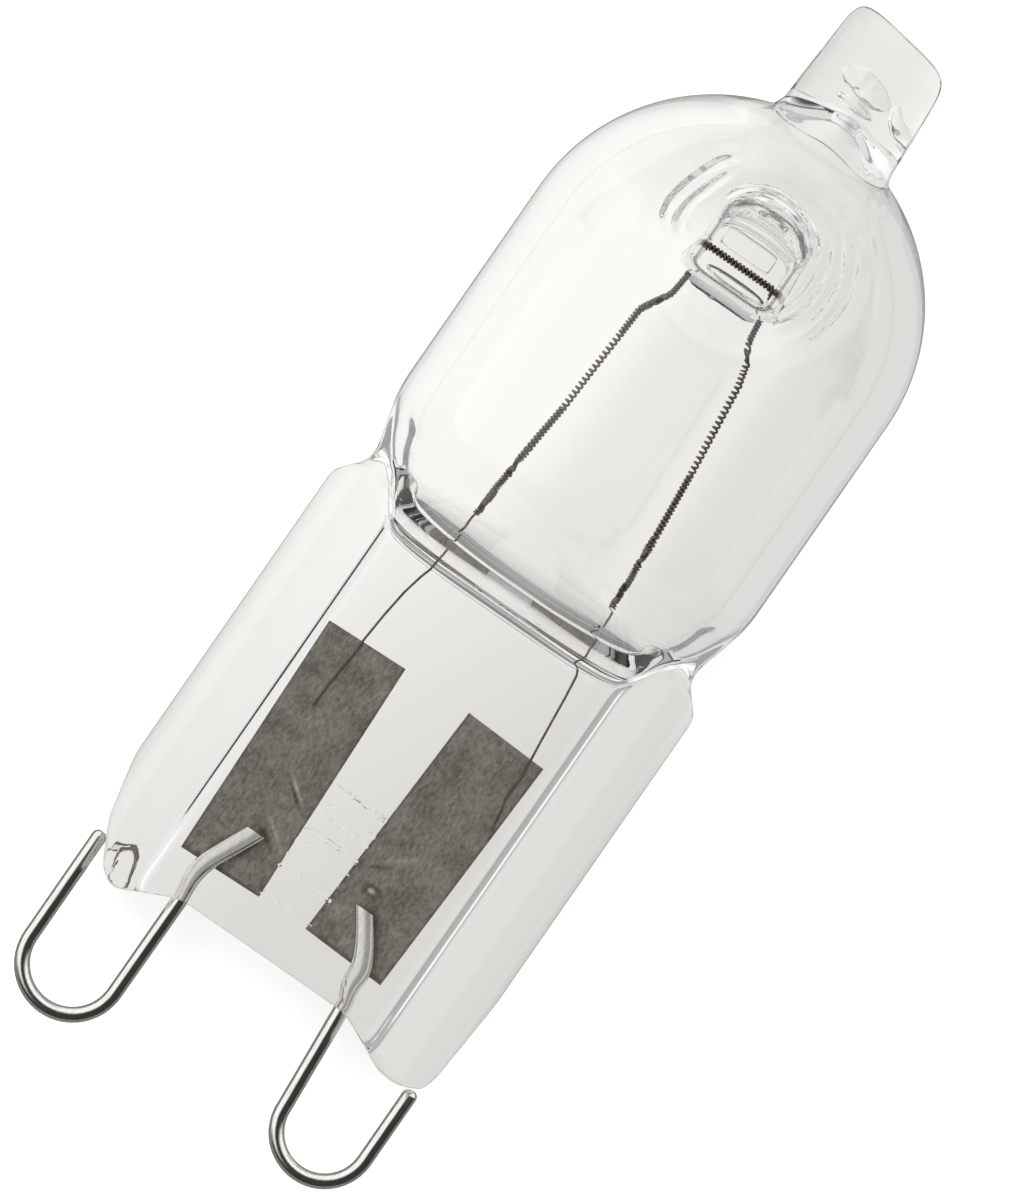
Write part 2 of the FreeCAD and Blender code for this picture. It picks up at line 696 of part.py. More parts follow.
def main():
    pieces = {
        "left_foil": make_foil("left"),
        "right_foil": make_foil("right"),
        "left_pin": make_pin("left", -1),
        "right_pin": make_pin("right", 1),
        "filament": make_filament(),
    }
    pieces["envelope"] = make_envelope(list(pieces.values()))
    doc.recompute()
    placement = laid_down(list(pieces.values()))
    nodes = []
    for label, piece in pieces.items():
        node = new("Part::Compound", label + "_node")
        node.Label = label
        node.Links = [piece]
        node.Placement = placement
        nodes.append(node)
    doc.recompute()

    failed = [f"{thing.Label}: {thing.State}" for thing in doc.Objects
              if "Invalid" in thing.State or "Error" in thing.State]
    if failed:
        raise RuntimeError("objects that failed: " + "; ".join(failed))
    os.makedirs("parts", exist_ok=True)
    for node in nodes:
        shape = node.Shape
        if shape.isNull() or not shape.isValid() or len(shape.Solids) != 1:
            raise RuntimeError(f"{node.Label} has no single valid solid")
    for node in nodes:
        node.Shape.exportStep(os.path.join("parts", node.Label + ".step"))
        print(f"{node.Label}: {node.Shape.Volume:.3f} cubic mm")
    print(f"laid down at {placement.Rotation.Angle * 180 / math.pi:.2f} degrees")


main()
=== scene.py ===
import json
import math

import bmesh
import bpy
from mathutils import Matrix, Vector


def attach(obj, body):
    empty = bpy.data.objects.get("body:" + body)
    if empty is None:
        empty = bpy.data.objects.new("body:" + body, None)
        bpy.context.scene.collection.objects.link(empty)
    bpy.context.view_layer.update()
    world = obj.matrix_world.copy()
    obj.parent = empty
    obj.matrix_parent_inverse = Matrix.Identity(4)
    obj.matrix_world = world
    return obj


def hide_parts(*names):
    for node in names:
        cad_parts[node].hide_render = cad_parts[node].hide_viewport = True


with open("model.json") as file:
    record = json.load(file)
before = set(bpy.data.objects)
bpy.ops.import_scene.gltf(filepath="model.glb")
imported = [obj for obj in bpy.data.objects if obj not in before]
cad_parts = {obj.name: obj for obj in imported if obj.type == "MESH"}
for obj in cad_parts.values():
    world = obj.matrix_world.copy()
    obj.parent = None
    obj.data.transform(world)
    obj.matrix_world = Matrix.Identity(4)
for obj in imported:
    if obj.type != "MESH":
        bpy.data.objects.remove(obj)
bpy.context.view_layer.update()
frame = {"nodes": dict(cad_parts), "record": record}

# The lamp is modelled upright in millimetres: X across the pinch, Y from the pinch to the exhaust
# tip, Z towards the viewer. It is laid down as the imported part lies, which its loops' mount tells.
MOUNT = frame["record"]["mounts"][0]
MOUNT_HEIGHT = -4.0
TILT = math.atan2(-MOUNT["axis"][2], -MOUNT["axis"][1])
LYING = Matrix.Rotation(TILT, 4, "X")
PLACE = Vector(MOUNT["pos_m"]) - LYING @ Vector((0, MOUNT_HEIGHT / 1000, 0))
MILLIMETRE = 0.001

# Glass
BULB_RADIUS = 7.0
BULB_WALL = 1.0
BULB_BOTTOM = 18.1
DOME_CENTRE = 25.9
TUBE_RINGS = 30
VOXEL = 0.2
# where the throat turns from round to a rounded rectangle, and how square it gets
THROAT_TOP = 17.0
SKIN_THROAT_END = 13.8
GAS_THROAT_END = 14.6
THROAT_SQUARE = 4.5
SHOULDER_SQUARE = 7.0
TIP_SQUARE = 3.6

# height, half width and half depth of the glass from the bulb to the crease above the pinch
THROAT = [
    (18.1, 7.0, 7.0),
    (17.45, 6.92, 6.82),
    (16.8, 6.68, 6.35),
    (16.1, 6.25, 5.55),
    (15.5, 5.75, 4.5),
    (14.8, 5.3, 3.2),
    (14.2, 5.05, 2.1),
    (13.75, 4.95, 1.35),
    (13.45, 4.9, 0.9),
]
GAS_THROAT = [
    (18.1, 6.0, 6.0),
    (17.45, 5.9, 5.8),
    (16.8, 5.65, 5.25),
    (16.1, 5.3, 4.3),
    (15.6, 5.0, 3.2),
    (15.2, 4.84, 2.0),
    (14.9, 4.76, 1.1),
    (14.68, 4.7, 0.66),
    (14.56, 4.66, 0.5),
    (14.5, 4.6, 0.3),
]
# height, half width and half depth of the shoulders that carry the rails up to the bulb's sides
SHOULDERS = [
    (13.62, 6.95, 2.1),
    (14.3, 6.8, 2.15),
    (14.9, 6.6, 2.15),
    (15.5, 6.42, 2.1),
    (16.1, 6.54, 2.0),
    (16.8, 6.74, 1.9),
    (17.5, 6.88, 1.6),
    (18.0, 6.85, 1.2),
]
# the gas space runs up into the exhaust tube's root
CROWN_RISE = 1.6
CROWN_REACH = 3.4
# how far the gas space's bottom sags in its middle
GAS_SAG = 0.27
SAG_REACH = 4.8
# height, half width, half depth of the exhaust tube's remnant
TIP = [
    (30.4, 2.3, 2.3),
    (31.2, 2.28, 3.9),
    (31.8, 2.26, 3.5),
    (32.3, 2.23, 3.0),
    (32.8, 2.2, 2.55),
    (33.4, 2.17, 2.2),
    (34.2, 2.13, 1.95),
    (34.8, 2.09, 1.75),
    (35.6, 2.04, 1.5),
    (36.25, 1.98, 1.35),
    (36.6, 1.8, 1.2),
    (36.75, 1.5, 0.95),
    (36.8, 1.0, 0.6),
]
TIP_OFFSET = 0.18
# Dimples, seen from the front: depth, left, right, bottom and top of each section.
# A hollow is open to the air, from its floor at the filament out to its mouth.
HOLLOW = [
    (0.95, -1.28, 1.38, 26.64, 28.6), (1.55, -1.3, 1.4, 26.62, 28.63),
    (1.8, -1.36, 1.46, 26.58, 28.9), (2.5, -1.38, 1.48, 26.56, 28.95),
    (2.8, -1.42, 1.54, 26.5, 29.25), (3.5, -1.45, 1.58, 26.46, 29.42),
    (4.6, -1.5, 1.64, 26.42, 29.52), (5.4, -1.62, 1.78, 26.3, 29.66),
    (6.2, -1.85, 2.0, 26.1, 29.9), (7.4, -2.3, 2.5, 25.7, 30.4),
]
# The pillar is the glass round the hollows that stands in the gas, nose to nose.
PILLAR = [
    (-0.02, -1.56, 1.72, 26.38, 29.62), (1.6, -1.58, 1.75, 26.36, 29.65),
    (3.2, -1.62, 1.78, 26.32, 29.7), (4.4, -1.74, 1.92, 26.2, 29.84),
    (5.2, -1.95, 2.15, 26.0, 30.08), (6.9, -2.6, 2.8, 25.4, 30.7),
]
# The saucer round each dimple's mouth: its middle, reach sideways, up and down, and its depth
SAUCER_MIDDLE = (0.07, 28.0)
SAUCER_REACH = (3.9, 3.7, 3.8)
SAUCER_DEPTH = 1.9
# Marks that the noses left on the hollows' floors: a window over the filament, a fold under it
WINDOW = [(0.8, -1.0, 0.84, 27.76, 28.38), (1.0, -1.06, 0.9, 27.7, 28.44)]
FOLD = [(0.75, -0.8, 1.18, 26.78, 26.96), (1.0, -0.98, 1.36, 26.68, 27.06)]

# Pinch
PINCH_HALF_WIDTH = 7.25
PINCH_TOP = 15.2
RAIL_BOTTOM = -1.15
RAIL_DEPTH = 4.4
WEB_DEPTH = 2.2
RAIL_FOOT = 4.35
RAIL_SHOULDER = 6.0


# Modelling by hand

def nothing_selected():
    for other in bpy.context.selected_objects:
        other.select_set(False)


def only(piece):
    nothing_selected()
    piece.select_set(True)
    bpy.context.view_layer.objects.active = piece


def fresh(name):
    """The primitive that was just added, under its own name."""
    piece = bpy.context.active_object
    piece.name = name
    piece.data.name = name
    return piece


def choose(piece, kind, test):
    """In edit mode: selects the verts, edges or faces whose middle passes the test."""
    bpy.ops.mesh.select_all(action="DESELECT")
    bpy.ops.mesh.select_mode(type={"verts": "VERT", "edges": "EDGE", "faces": "FACE"}[kind])
    shape = bmesh.from_edit_mesh(piece.data)
    for part in getattr(shape, kind):
        if kind == "verts":
            middle = part.co
        else:
            middle = sum((corner.co for corner in part.verts), Vector()) / len(part.verts)
        part.select_set(bool(test(middle, part)))
    shape.select_flush_mode()
    bmesh.update_edit_mesh(piece.data)


def finish_with(piece, kind, **settings):
    only(piece)
    modifier = piece.modifiers.new(kind.lower(), kind)
    for setting, given in settings.items():
        setattr(modifier, setting, given)
    bpy.ops.object.modifier_apply(modifier=modifier.name)


def combine(base, tool, operation):
    finish_with(base, "BOOLEAN", operation=operation, object=tool, solver="EXACT")
    bpy.data.objects.remove(tool, do_unlink=True)


def joined(pieces, name):
    only(pieces[0])
    for piece in pieces[1:]:
        piece.select_set(True)
    bpy.ops.object.join()
    return fresh(name)


def seated(piece):
    """Lays a piece made upright in millimetres in its place in the lamp, as the frame has it."""
    only(piece)
    piece.matrix_world = (
        Matrix.Translation(PLACE) @ LYING @ Matrix.Scale(MILLIMETRE, 4) @ piece.matrix_world
    )
    bpy.ops.object.transform_apply(location=True, rotation=True, scale=True)
    return piece


def eased(levels, parts):
    """Levels between the given ones, on a smooth curve through them."""
    finer = []
    for k in range(len(levels) - 1):
        before, here = levels[max(k - 1, 0)], levels[k]
        there, after = levels[k + 1], levels[min(k + 2, len(levels) - 1)]
        for step in range(parts):
            t = step / parts
            finer.append(tuple(
                0.5 * (2 * b + (c - a) * t + (2 * a - 5 * b + 4 * c - d) * t**2
                       + (3 * b - a - 3 * c + d) * t**3)
                for a, b, c, d in zip(before, here, there, after)
            ))
    finer.append(levels[-1])
    return finer


def draw_rings(levels):
    """Extrudes the selected ring through levels of (height, half width, half depth)."""
    for before, here in zip(levels, levels[1:]):
        bpy.ops.mesh.extrude_region_move(
            TRANSFORM_OT_translate={"value": (0, here[0] - before[0], 0)})
        bpy.ops.transform.resize(value=(here[1] / before[1], 1, here[2] / before[2]),
                                 center_override=(0, here[0], 0))


def outward(piece):
    only(piece)
    bpy.ops.object.mode_set(mode="EDIT")
    bpy.ops.mesh.select_all(action="SELECT")
    bpy.ops.mesh.remove_doubles(threshold=0.0005)
    bpy.ops.mesh.normals_make_consistent(inside=False)
    bpy.ops.object.mode_set(mode="OBJECT")
    return piece


# Glass envelope

def blow_bulb(name, radius, throat):
    """A half ball on a tube that is drawn down through the throat's rings."""
    nothing_selected()
    bpy.ops.mesh.primitive_uv_sphere_add(
        segments=144, ring_count=72, radius=radius, location=(0, DOME_CENTRE, 0),
        rotation=(-math.pi / 2, 0, 0))
    piece = fresh(name)
    bpy.ops.object.transform_apply(location=True, rotation=True, scale=True)
    bpy.ops.object.mode_set(mode="EDIT")
    choose(piece, "faces", lambda at, face: at.y < DOME_CENTRE)
    bpy.ops.mesh.delete(type="FACE")
    choose(piece, "verts", lambda at, corner: at.y < DOME_CENTRE + 0.01)
    step = (DOME_CENTRE - BULB_BOTTOM) / TUBE_RINGS
    tube = [(DOME_CENTRE - k * step, radius, radius) for k in range(TUBE_RINGS + 1)]
    draw_rings(tube + eased(throat, 4)[1:])
    bpy.ops.mesh.edge_face_add()
    bpy.ops.object.mode_set(mode="OBJECT")
    return outward(piece)


# a height above the whole lamp: a piece squared up below it is squared up all over
ALL_OF_IT = 38.0


def square_up(piece, top, bottom, power, sag=0.0):
    """Turns the throat's oval rings into rounded rectangles, more so towards the pinch. The
    lowest rings may sag in their middle."""
    rings = {}
    for corner in piece.data.vertices:
        if corner.co.y < top:
            rings.setdefault(round(corner.co.y, 3), []).append(corner)
    for height, ring in rings.items():
        wide = max(abs(corner.co.x) for corner in ring)
        deep = max(abs(corner.co.z) for corner in ring)
        share = min(1.0, (top - height) / (top - bottom))
        share = share * share * (3 - 2 * share)
        bend = 2 / (2 + (power - 2) * share)
        for corner in ring:
            x, z = corner.co.x, corner.co.z
            turn = math.atan2(z / deep, x / wide)
            corner.co.x = math.copysign(wide * abs(math.cos(turn))**bend, x)
            corner.co.z = math.copysign(deep * abs(math.sin(turn))**bend, z)
            corner.co.y -= sag * share**3 * max(0.0, 1 - (corner.co.x / SAG_REACH)**2)


def press_pinch():
    """The flat seal: a block cut to the pinch's outline, with its web pressed in."""
    nothing_selected()
    bpy.ops.mesh.primitive_cube_add(size=1, location=(0, (PINCH_TOP + RAIL_BOTTOM) / 2, 0))
    piece = fresh("pinch")
    piece.scale = (2 * PINCH_HALF_WIDTH, PINCH_TOP - RAIL_BOTTOM, RAIL_DEPTH)
    bpy.ops.object.transform_apply(location=True, rotation=True, scale=True)
    bpy.ops.object.mode_set(mode="EDIT")
    # corners cut off the outline: a point on each cut and the way it faces
    for point, away in [
        ((7.0, 14.6, 0), (0.75, 0.66, 0)), ((-7.0, 14.6, 0), (-0.75, 0.66, 0)),
        ((6.45, 15.0, 0), (0.35, 0.94, 0)), ((-6.45, 15.0, 0), (-0.35, 0.94, 0)),
        ((7.12, 1.3, 0), (0.99, -0.08, 0)), ((6.88, -0.6, 0), (0.94, -0.34, 0)),
        ((6.4, -1.0, 0), (0.4, -0.92, 0)),
        ((-6.98, 1.7, 0), (-0.975, -0.22, 0)), ((-6.5, 0.2, 0), (-0.89, -0.45, 0)),
        ((-5.9, -0.82, 0), (-0.6, -0.8, 0)),
    ]:
        bpy.ops.mesh.select_all(action="SELECT")
        bpy.ops.mesh.bisect(plane_co=point, plane_no=away, use_fill=True, clear_outer=True)
    # lines along the lamp, close together where the section curves, then its curve is pressed in
    curves = [0.12 * k for k in range(math.ceil((RAIL_SHOULDER + 0.3 - RAIL_FOOT) / 0.12))]
    across = [3.3] + [RAIL_FOOT - 0.1 + step for step in curves] + [
        6.4, 6.6, 6.75, 6.88, 6.98, 7.06, 7.12, 7.17, 7.21]
    for place in across:
        for side in (1, -1):
            bpy.ops.mesh.select_all(action="SELECT")
            bpy.ops.mesh.bisect(plane_co=(side * place, 0, 0), plane_no=(1, 0, 0))
    shape = bmesh.from_edit_mesh(piece.data)
    for corner in shape.verts:
        x, y, z = corner.co
        corner.co.z = math.copysign(pinch_section(abs(x)), z)
        if y < RAIL_BOTTOM + 0.1:
            slope = min(1.0, max(0.0, (5.3 - abs(x)) / 2.0))
            corner.co.y += 0.93 * slope
    bmesh.update_edit_mesh(piece.data)
    bpy.ops.mesh.select_all(action="SELECT")
    bpy.ops.mesh.quads_convert_to_tris()
    bpy.ops.object.mode_set(mode="OBJECT")
    return outward(piece)


def pinch_section(across):
    """Half the pinch's depth at a distance from its middle: thin web, thick rail, round side."""
    web, rail, side = WEB_DEPTH / 2, RAIL_DEPTH / 2, 0.85
    rise = min(1.0, max(0.0, (across - RAIL_FOOT) / (RAIL_SHOULDER - RAIL_FOOT)))
    depth = web + (rail - web) * rise * rise * (3 - 2 * rise)
    turn = min(1.0, max(0.0, (across - 6.4) / (PINCH_HALF_WIDTH - 6.4)))
    return depth - (rail - side) * (1 - math.sqrt(1 - turn**2))


def draw_shoulders():
    nothing_selected()
    bpy.ops.mesh.primitive_circle_add(
        vertices=128, radius=SHOULDERS[0][1], location=(0, SHOULDERS[0][0], 0),
        rotation=(math.pi / 2, 0, 0), fill_type="NGON")
    piece = fresh("shoulders")
    piece.scale.z = SHOULDERS[0][2] / SHOULDERS[0][1]
    bpy.ops.object.transform_apply(location=True, rotation=True, scale=True)
    flat = max(abs(corner.co.z) for corner in piece.data.vertices) / SHOULDERS[0][2]
    for corner in piece.data.vertices:
        corner.co.z /= flat
    bpy.ops.object.mode_set(mode="EDIT")
    bpy.ops.mesh.select_all(action="SELECT")
    draw_rings(eased(SHOULDERS, 3))
    bpy.ops.object.mode_set(mode="OBJECT")
    square_up(piece, ALL_OF_IT + 2, ALL_OF_IT, SHOULDER_SQUARE)
    # they have the rails' section, so only the rails run up past the web's end
    for corner in piece.data.vertices:
        depth = min(abs(corner.co.z), pinch_section(min(abs(corner.co.x), 6.4)))
        corner.co.z = math.copysign(depth, corner.co.z)
    return outward(piece)


def raise_crown(piece):
    for corner in piece.data.vertices:
        reach = math.hypot(corner.co.x - TIP_OFFSET, corner.co.z) / CROWN_REACH
        if corner.co.y > DOME_CENTRE and reach < 1:
            corner.co.y += CROWN_RISE * (1 - reach**2)**2


def draw_tip():
    nothing_selected()
    bpy.ops.mesh.primitive_circle_add(
        vertices=96, radius=TIP[0][1], location=(0, TIP[0][0], 0),
        rotation=(math.pi / 2, 0, 0), fill_type="NGON")
    piece = fresh("tip")
    bpy.ops.object.transform_apply(location=True, rotation=True, scale=True)
    bpy.ops.object.mode_set(mode="EDIT")
    bpy.ops.mesh.select_all(action="SELECT")
    draw_rings(eased(TIP, 3))
    bpy.ops.object.mode_set(mode="OBJECT")
    square_up(piece, ALL_OF_IT + 2, ALL_OF_IT, TIP_SQUARE)
    # its end was melted off at a slant
    for corner in piece.data.vertices:
        share = min(1.0, max(0.0, (corner.co.y - 35.0) / 1.5))
        corner.co.y -= share * 0.158 * corner.co.x
        corner.co.x += TIP_OFFSET
    return outward(piece)


def push_in(name, levels, side, top_corner=0.97, foot_corner=0.4, parts=4, tall=2):
    """A rounded section carried outwards through levels of (depth, left, right, bottom, top)."""
    levels = eased(levels, parts)
    depth, left, right, low, high = levels[0]
    nothing_selected()
    bpy.ops.mesh.primitive_plane_add(size=2, location=(0, 0, depth))
    piece = fresh(name)
    piece.scale = (1, tall, 1)
    bpy.ops.object.transform_apply(location=True, rotation=True, scale=True)
    bpy.ops.object.mode_set(mode="EDIT")
    choose(piece, "verts", lambda at, corner: at.y > tall - 0.02)
    bpy.ops.mesh.bevel(affect="VERTICES", offset=top_corner, segments=20)
    choose(piece, "verts", lambda at, corner: at.y < 0.02 - tall)
    bpy.ops.mesh.bevel(affect="VERTICES", offset=foot_corner, segments=10)
    bpy.ops.mesh.select_mode(type="FACE")
    bpy.ops.mesh.select_all(action="SELECT")
    bpy.ops.transform.resize(value=((right - left) / 2, (high - low) / (2 * tall), 1),
                             center_override=(0, 0, depth))
    bpy.ops.transform.translate(value=((left + right) / 2, (low + high) / 2, 0))
    for before, here in zip(levels, levels[1:]):
        bpy.ops.mesh.extrude_region_move(
            TRANSFORM_OT_translate={"value": (0, 0, here[0] - before[0])})
        middle = ((before[1] + before[2]) / 2, (before[3] + before[4]) / 2, here[0])
        wider = (here[2] - here[1]) / (before[2] - before[1])
        taller = (here[4] - here[3]) / (before[4] - before[3])
        bpy.ops.transform.resize(value=(wider, taller, 1), center_override=middle)
        bpy.ops.transform.translate(value=(
            (here[1] + here[2]) / 2 - middle[0], (here[3] + here[4]) / 2 - middle[1], 0))
    bpy.ops.object.mode_set(mode="OBJECT")
    if side < 0:
        only(piece)
        piece.scale.z = -1
        bpy.ops.object.transform_apply(location=False, rotation=False, scale=True)
    return outward(piece)


def soften(piece, rounds):
    """One even skin over the joined shapes, with its seams melted together."""
    finish_with(piece, "REMESH", mode="VOXEL", voxel_size=VOXEL, use_smooth_shade=True)
    finish_with(piece, "SMOOTH", factor=0.5, iterations=rounds)


def true_up(piece):
    """Brings the melted skin back onto the true tube and half ball, clear of its seams."""
    for corner in piece.data.vertices:
        if corner.co.y > BULB_BOTTOM:
            middle = Vector((0, min(corner.co.y, DOME_CENTRE), 0))
            out = corner.co - middle
            near = min(1.0, max(0.0, 1.5 - abs(out.length - BULB_RADIUS) / 0.08))
            near *= min(1.0, (corner.co.y - BULB_BOTTOM) / 0.8)
            corner.co = middle + out * (1 - near + near * BULB_RADIUS / out.length)


def sink_saucers(piece):
    """Sinks the glass round both dimples. The inside goes with the outside, so the wall keeps
    its thickness."""
    for corner in piece.data.vertices:
        x, y, z = corner.co
        aside, above = x - SAUCER_MIDDLE[0], y - SAUCER_MIDDLE[1]
        reach = math.hypot(aside / SAUCER_REACH[0],
                           above / (SAUCER_REACH[1] if above > 0 else SAUCER_REACH[2]))
        if reach < 1 and abs(z) > 2.5:
            corner.co.z -= math.copysign(SAUCER_DEPTH * (1 - reach**2)**2, z)


def crumple(piece, size, roughness):
    """Small dents all over a bubble, the same ones in each run."""
    pattern = bpy.data.textures.new(piece.name + "_dents", "CLOUDS")
    pattern.noise_scale = size
    finish_with(piece, "DISPLACE", texture=pattern, strength=roughness, texture_coords="LOCAL")
    bpy.data.textures.remove(pattern)


def draw_bubble(place, half_sizes, lean, dents=0.0):
    """A gas bubble left in the exhaust tube's end."""
    nothing_selected()
    bpy.ops.mesh.primitive_uv_sphere_add(segments=48, ring_count=24, radius=1,
                                         location=place, rotation=(0, 0, math.radians(lean)))
    piece = fresh("bubble")
    piece.scale = half_sizes
    bpy.ops.object.transform_apply(location=True, rotation=True, scale=True)
    if dents:
        crumple(piece, 0.45, dents)
    return outward(piece)


def make_glass():
    skin = blow_bulb("bulb_skin", BULB_RADIUS, THROAT)
    square_up(skin, THROAT_TOP, SKIN_THROAT_END, THROAT_SQUARE)
    combine(skin, draw_shoulders(), "UNION")
    combine(skin, press_pinch(), "UNION")
    combine(skin, draw_tip(), "UNION")
    soften(skin, 6)
    true_up(skin)
    sink_saucers(skin)
    for side in (1, -1):
        combine(skin, push_in("hollow", HOLLOW, side), "DIFFERENCE")
        combine(skin, push_in("window", WINDOW, side, 0.5, 0.5), "DIFFERENCE")
        combine(skin, push_in("fold", FOLD, side, 0.9, 0.9, tall=1), "DIFFERENCE")
    gas = blow_bulb("gas_space", BULB_RADIUS - BULB_WALL, GAS_THROAT)
    square_up(gas, THROAT_TOP, GAS_THROAT_END, THROAT_SQUARE, GAS_SAG)
    sink_saucers(gas)
    raise_crown(gas)
    for side in (1, -1):
        combine(gas, push_in("pillar", PILLAR, side), "DIFFERENCE")
    bubbles = [
        draw_bubble((0.1, 33.8, 0.7), (0.7, 0.24, 0.3), -5),
        draw_bubble((0.1, 34.5, 0.2), (0.95, 0.5, 0.16), -12, 0.16),
        draw_bubble((1.4, 34.05, 0.1), (0.24, 0.66, 0.2), 24, 0.16),
    ]
    hole = joined([gas] + bubbles, "gas_and_bubbles")
    bpy.ops.object.mode_set(mode="EDIT")
    bpy.ops.mesh.select_all(action="SELECT")
    bpy.ops.mesh.flip_normals()
    bpy.ops.object.mode_set(mode="OBJECT")
    whole = joined([skin, hole], "glass_envelope")
    bpy.ops.object.shade_smooth_by_angle(angle=math.radians(35))
    return seated(whole)


# Contact pins, foils and filament

PIN_RADIUS = 0.265
# side: inner leg, outer leg, middle and radius of the turn, end of the outer leg, and the way
# along the tail as (x, height, half width, half depth, lift)
PINS = {
    "left": {
        "inner": -3.32, "outer": -6.68, "turn": (-5.0, -4.04), "radius": 1.68, "end": 0.12,
        "tail": [(-3.3, -0.2, 0.27, 0.265, 0.0), (-3.38, 0.55, 0.3, 0.25, 0.1),
                 (-3.3, 1.2, 0.34, 0.2, 0.12), (-2.98, 1.96, 0.36, 0.17, 0.12),
                 (-2.5, 3.0, 0.36, 0.14, 0.1)],
    },
    "right": {
        "inner": 3.12, "outer": 6.63, "turn": (5.03, -3.88), "radius": 1.6, "end": -1.08,
        "tail": [(3.14, 0.0, 0.27, 0.265, 0.0), (2.95, 0.6, 0.33, 0.25, 0.1),
                 (2.9, 1.3, 0.38, 0.2, 0.12), (2.5, 2.1, 0.38, 0.17, 0.12),
                 (1.9, 2.95, 0.36, 0.14, 0.1)],
    },
}


def bend_pin(side):
    pin = PINS[side]
    middle, low = pin["turn"]
    radius = pin["radius"]
    way = 1 if pin["outer"] > pin["inner"] else -1
    nothing_selected()
    bpy.ops.mesh.primitive_circle_add(
        vertices=28, radius=PIN_RADIUS, location=(middle - way * radius, low, 0),
        rotation=(math.pi / 2, 0, 0))
    piece = fresh(side + "_contact_pin")
    bpy.ops.object.transform_apply(location=True, rotation=True, scale=True)
    bpy.ops.object.mode_set(mode="EDIT")
    bpy.ops.mesh.select_all(action="SELECT")
    bpy.ops.mesh.spin(steps=32, angle=-way * math.pi, center=(middle, low, 0), axis=(0, 0, 1))
    # outer leg, with its end rounded off
    choose(piece, "verts", lambda at, corner: abs(at.y - low) < 0.01
           and abs(at.x - middle - way * radius) < 0.4)
    rise = pin["end"] - low
    bpy.ops.mesh.extrude_region_move(TRANSFORM_OT_translate={"value": (0, rise - 0.2, 0)})
    at_x = middle + way * radius
    for step, share in ((0.08, 0.93), (0.07, 0.8), (0.05, 0.6)):
        bpy.ops.mesh.extrude_region_move(TRANSFORM_OT_translate={"value": (0, step, 0)})
        bpy.ops.transform.resize(value=(share, 1, share),
                                 center_override=(at_x, pin["end"], 0))
    bpy.ops.mesh.edge_face_add()
    # inner leg and the pressed tail on the foil
    choose(piece, "verts", lambda at, corner: abs(at.y - low) < 0.01
           and abs(at.x - middle + way * radius) < 0.4)
    here = (middle - way * radius, low, PIN_RADIUS, PIN_RADIUS, 0.0)
    for there in eased(pin["tail"], 4):
        bpy.ops.mesh.extrude_region_move(TRANSFORM_OT_translate={
            "value": (there[0] - here[0], there[1] - here[1], there[4] - here[4])})
        bpy.ops.transform.resize(
            value=(there[2] / here[2], 1, there[3] / here[3]),
            center_override=(there[0], there[1], there[4]))
        here = there
    bpy.ops.mesh.edge_face_add()
    bpy.ops.object.mode_set(mode="OBJECT")
    outward(piece)
    bpy.ops.object.shade_smooth_by_angle(angle=math.radians(50))
    return seated(piece)


WIRE_RADIUS = 0.043
COIL_RADIUS = 0.095
# thicker where the turns are wound close, so that no light shows between them
DENSE_WIRE_RADIUS = 0.058
# stretches of each coil: first end, second end, turns and lean of the turns
COILS = {
    "left": [
        ((-2.57, 16.4), (-2.16, 20.3), 28, 0.0),
        ((-2.16, 20.3), (-1.99, 23.4), 17, -0.31),
        ((-1.99, 23.4), (-1.94, 24.4), 8, -0.1),
        ((-1.94, 24.4), (-1.58, 25.1), 7, 0.0),
        ((-1.58, 25.1), (-1.5, 26.0), 8, 0.0),
        ((-1.5, 26.0), (-1.62, 26.7), 6, 0.0),
        ((-1.62, 26.7), (-1.3, 27.45), 7, 0.0),
    ],
    "right": [
        ((2.97, 16.5), (2.57, 20.85), 31, 0.0),
        ((2.57, 20.85), (2.2, 24.2), 18, -0.31),
        ((2.2, 24.2), (1.88, 25.3), 7, -0.31),
        ((1.88, 25.3), (1.75, 26.4), 9, 0.0),
        ((1.75, 26.4), (1.32, 27.45), 9, 0.0),
    ],
}
TOP_RUN = ((-1.3, 27.45), (1.32, 27.45), 18, 0.0)
LEADS = {
    "left": [(-2.58, 16.5), (-2.58, 16.2), (-2.6, 15.0), (-2.65, 14.7), (-2.72, 13.5),
             (-2.85, 13.0), (-3.0, 12.3), (-3.12, 11.3), (-3.2, 10.3), (-3.22, 9.5),
             (-3.3, 8.8), (-3.35, 7.5)],
    "right": [(2.97, 16.6), (2.88, 16.42), (3.05, 16.15), (3.07, 15.2), (3.13, 14.4),
              (2.97, 14.1), (2.95, 13.8), (3.15, 13.6), (3.25, 13.3), (3.35, 12.5),
              (3.45, 11.5), (3.52, 10.8), (3.6, 10.1), (3.65, 9.4), (3.64, 8.6),
              (3.75, 8.2), (3.86, 7.5)],
}


